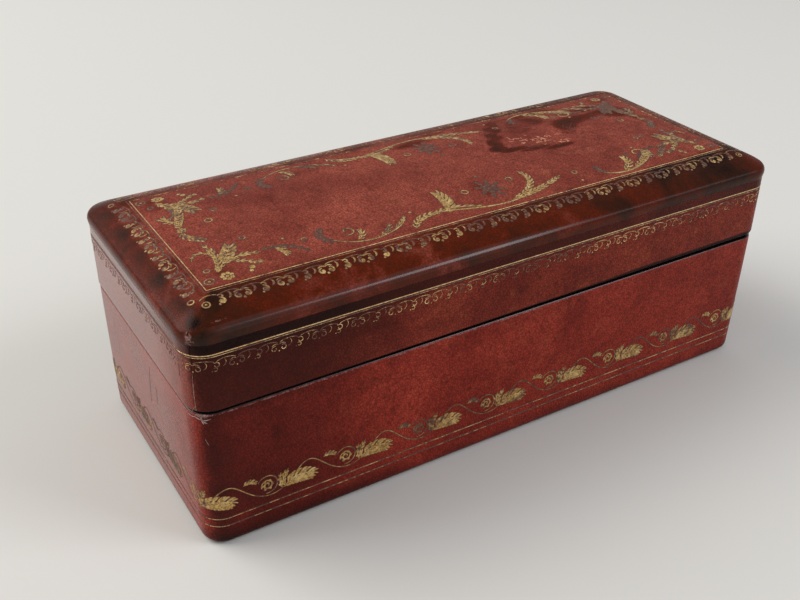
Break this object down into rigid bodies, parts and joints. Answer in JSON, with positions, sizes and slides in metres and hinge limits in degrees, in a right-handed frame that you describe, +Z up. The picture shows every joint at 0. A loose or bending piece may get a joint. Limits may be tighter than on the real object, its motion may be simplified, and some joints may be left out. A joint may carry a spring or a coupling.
{
  "type": "jewellery case",
  "caption": "Oblong leather-covered jewellery case with a hinged cushion-topped lid, gilt borders, velvet-lined tray, ring rolls and brass stop hinges.",
  "frame": {"origin": "centre of the underside of the base, on the surface the case stands on", "axes": "+X along the length, to the right seen from the front; +Y from front to back, hinges at the back; +Z up"},
  "size_m": [0.2012, 0.0873, 0.0751],
  "materials": {
    "board": "plain poplar board",
    "leather": "oxblood, semi-gloss, gilt tooling",
    "underside_cloth": "dark felt",
    "velvet": "burgundy velvet",
    "satin": "old gold satin",
    "brass": "aged brass"
  },
  "bodies": {
    "base": {"base_floor_board": "board", "base_front_board": "board", "base_back_board": "board", "base_left_board": "board", "base_right_board": "board", "base_leather_band": "leather", "base_underside_cover": "underside_cloth", "base_lining_front": "velvet", "base_lining_back": "velvet", "base_lining_left": "velvet", "base_lining_right": "velvet", "base_floor_pad": "velvet", "divider": "velvet", "ring_bed": "velvet", "ring_roll_1": "velvet", "ring_roll_2": "velvet", "ring_roll_3": "velvet", "ring_roll_4": "velvet", "ring_roll_5": "velvet", "hinge_base_leaf_left": "brass", "hinge_base_leaf_right": "brass", "hinge_pin_left": "brass", "hinge_pin_right": "brass", "hinge_base_screws": "brass"},
    "lid": {"lid_top_board": "board", "lid_front_board": "board", "lid_back_board": "board", "lid_left_board": "board", "lid_right_board": "board", "lid_leather_band": "leather", "lid_top_leather": "leather", "lid_lining_front": "satin", "lid_lining_back": "satin", "lid_lining_left": "satin", "lid_lining_right": "satin", "lid_ceiling_pad": "satin", "hinge_lid_leaf_left": "brass", "hinge_lid_leaf_right": "brass", "hinge_lid_screws": "brass"}
  },
  "joints": [
    {"name": "lid_hinge", "type": "hinge", "parent": "base", "child": "lid", "pos_m": [0, 0.0431, 0.0456], "axis": [-1, 0, 0], "range_deg": [0, 105]}
  ]
}
